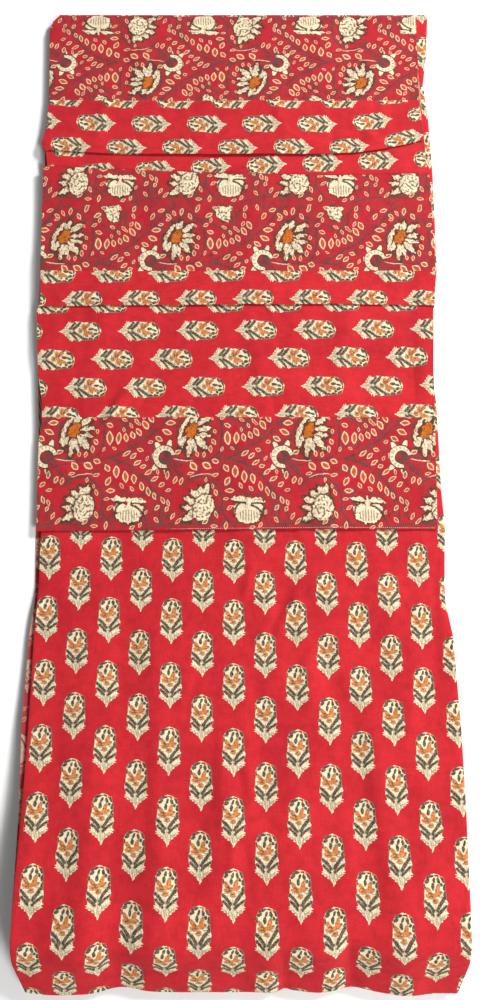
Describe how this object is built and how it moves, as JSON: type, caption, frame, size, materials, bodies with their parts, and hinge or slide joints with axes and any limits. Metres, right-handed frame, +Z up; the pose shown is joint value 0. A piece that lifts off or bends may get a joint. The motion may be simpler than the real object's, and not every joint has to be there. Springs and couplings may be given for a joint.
{
  "type": "folded printed cotton bedsheet with two pillow covers",
  "caption": "Block-printed cotton bedsheet folded to a long strip, near end turned under, with matching pillow covers laid on its far end.",
  "frame": {"origin": "on the floor under the middle of the folded bundle", "axes": "+Z up; Y along the strip, the turned-under near end at -Y and the covers at +Y; +X to the right seen from the near end"},
  "size_m": [0.7084, 1.6548, 0.0571],
  "materials": {
    "sheet_cotton": "matt plain-weave cotton, red ground with a cream, grey-brown and orange block print",
    "cover_cotton": "matt plain-weave cotton, red ground with printed flowers between two bands of flowering vine"
  },
  "bodies": {
    "root": {"bedsheet": "sheet_cotton", "cover_far": "cover_cotton", "cover_near": "cover_cotton"}
  },
  "joints": []
}
